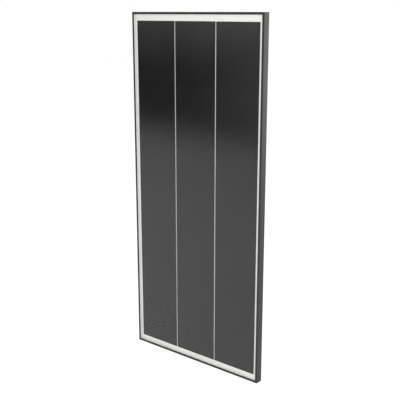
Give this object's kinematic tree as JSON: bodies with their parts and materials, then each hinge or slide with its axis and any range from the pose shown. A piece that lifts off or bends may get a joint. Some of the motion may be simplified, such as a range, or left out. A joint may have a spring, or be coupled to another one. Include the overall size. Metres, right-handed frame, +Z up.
{
  "type": "solar panel",
  "caption": "Framed rigid solar panel, tall and narrow: black aluminium frame, glass laminate with shingled black cell strings on white, and a lidded junction box behind.",
  "frame": {"origin": "centre of the plane of the rear flanges, on which the panel is mounted", "axes": "+Z up along the panel's height, +X across its width, +Y from the sun side to the back"},
  "size_m": [0.51, 0.025, 1.132],
  "materials": {
    "frame": "black anodised, fine satin",
    "corner_key": "mill finish",
    "sealant": "cured silicone bead",
    "glass": "low-iron tempered, clear, polished",
    "encapsulant": "clear cured film",
    "cell": "monocrystalline silicon with a dark anti-reflective coat",
    "ribbon": "tinned copper",
    "insulator": "white insulating film",
    "backsheet": "white, fine matte",
    "box_adhesive": "silicone",
    "box": "black moulded, fine texture",
    "gasket": "soft foam",
    "terminal": "stamped, tinned brass",
    "screw": "zinc plated",
    "diode": "black moulded resin",
    "gland": "black moulded",
    "gland_rubber": "soft black"
  },
  "bodies": {
    "panel": {"frame_rail_left": "frame", "frame_rail_right": "frame", "frame_rail_top": "frame", "frame_rail_bottom": "frame", "corner_key_top_left": "corner_key", "corner_key_top_right": "corner_key", "corner_key_bottom_left": "corner_key", "corner_key_bottom_right": "corner_key", "edge_seal": "sealant", "front_glass": "glass", "encapsulant_front": "encapsulant", "encapsulant_rear": "encapsulant", "cell_string_left": "cell", "cell_string_centre": "cell", "cell_string_right": "cell", "bus_ribbon_top": "ribbon", "bus_ribbon_middle": "ribbon", "bus_ribbon_bottom": "ribbon", "lead_ribbon_top": "ribbon", "lead_ribbon_middle": "ribbon", "lead_ribbon_bottom": "ribbon", "ribbon_insulator_top": "insulator", "ribbon_insulator_middle": "insulator", "ribbon_insulator_bottom": "insulator", "backsheet": "backsheet", "box_adhesive": "box_adhesive", "box_base": "box", "terminal_positive": "terminal", "terminal_middle": "terminal", "terminal_negative": "terminal", "terminal_screw_positive": "screw", "terminal_screw_middle": "screw", "terminal_screw_negative": "screw", "bypass_diode_upper": "diode", "bypass_diode_lower": "diode", "gland_body_positive": "gland", "gland_body_negative": "gland", "gland_nut_positive": "gland", "gland_nut_negative": "gland", "gland_seal_positive": "gland_rubber", "gland_seal_negative": "gland_rubber"},
    "lid": {"box_lid": "box", "lid_gasket": "gasket"}
  },
  "joints": [
    {"name": "lid_hinge", "type": "hinge", "parent": "panel", "child": "lid", "pos_m": [0, -0.0036, 0.498], "axis": [1, 0, 0], "range_deg": [0, 100]}
  ]
}
